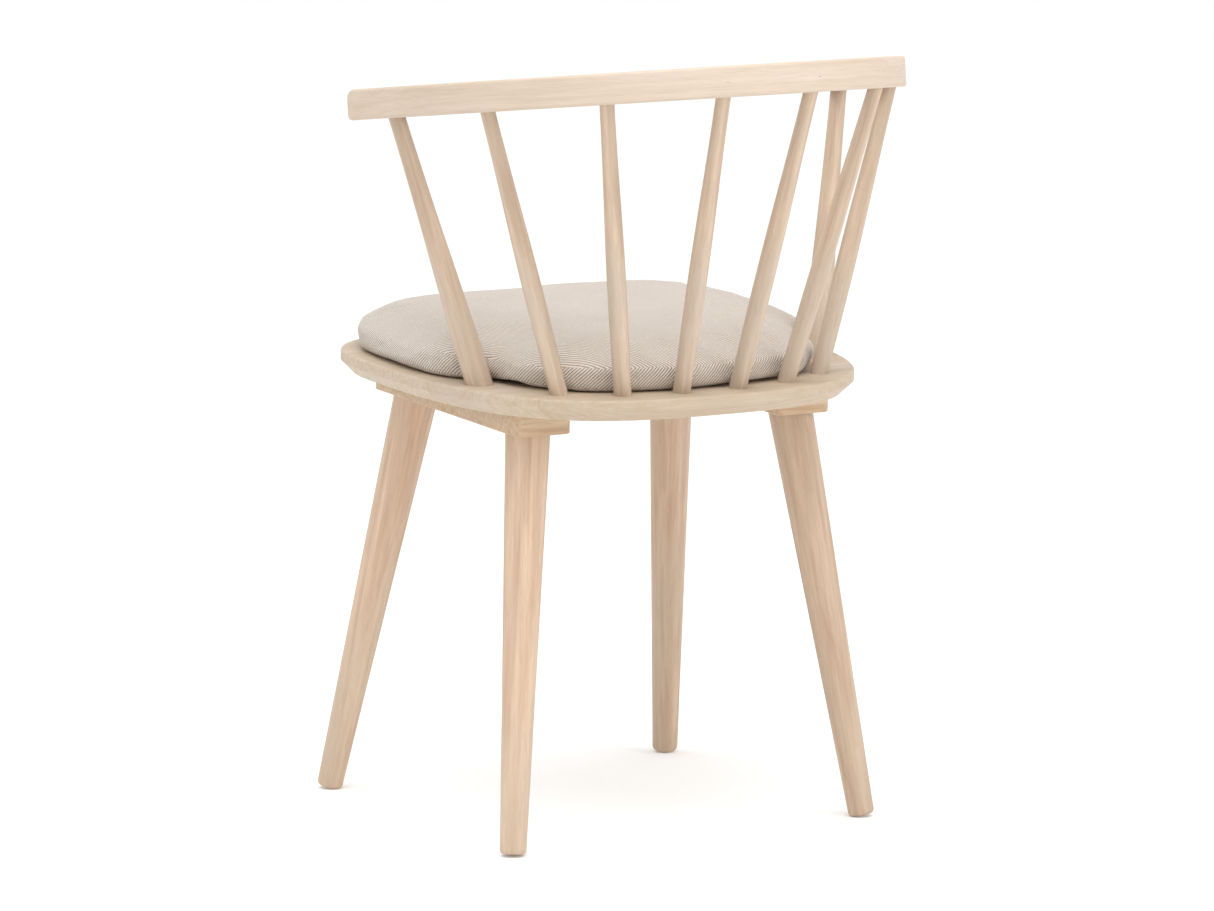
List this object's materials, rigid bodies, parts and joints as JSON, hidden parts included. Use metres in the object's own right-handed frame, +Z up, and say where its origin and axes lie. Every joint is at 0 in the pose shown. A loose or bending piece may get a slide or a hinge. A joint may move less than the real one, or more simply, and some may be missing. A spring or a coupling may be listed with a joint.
{
  "type": "armchair",
  "caption": "Wooden armchair with a bowed arm and back rail on turned spindles, a solid seat board on splayed tapered legs, and a loose seat cushion.",
  "frame": {"origin": "on the floor under the middle of the chair's overall box", "axes": "+Z up, +X to the sitter's left, -Y the way the sitter faces"},
  "size_m": [0.5336, 0.5524, 0.7604],
  "materials": {
    "rail_wood": "pale whitewashed, smooth matt lacquer",
    "seat_wood": "pale whitewashed, glued staves, matt lacquer",
    "spindle_wood": "pale whitewashed, turned, matt lacquer",
    "leg_wood": "pale whitewashed, turned, matt lacquer",
    "screw_steel": "zinc plated",
    "hook_tape": "woven tape with hooks or loops",
    "cushion_fabric": "coarse oatmeal weave",
    "cushion_filling": "soft foam block"
  },
  "bodies": {
    "chair": {"seat_board": "seat_wood", "batten_left": "leg_wood", "batten_right": "leg_wood", "batten_screws": "screw_steel", "bow_rail": "rail_wood", "hook_pads": "hook_tape", "leg_front_left": "leg_wood", "leg_rear_left": "leg_wood", "leg_front_right": "leg_wood", "leg_rear_right": "leg_wood", "spindle_arm_left": "spindle_wood", "spindle_side_left": "spindle_wood", "spindle_back_left": "spindle_wood", "spindle_middle_left": "spindle_wood", "spindle_arm_right": "spindle_wood", "spindle_side_right": "spindle_wood", "spindle_back_right": "spindle_wood", "spindle_middle_right": "spindle_wood"},
    "cushion": {"cushion_cover": "cushion_fabric", "cushion_foam": "cushion_filling", "loop_pads": "hook_tape"}
  },
  "joints": [
    {"name": "cushion_lift", "type": "slide", "parent": "chair", "child": "cushion", "axis": [0, -0.21, 0.9777], "range_m": [0, 0.2]}
  ]
}
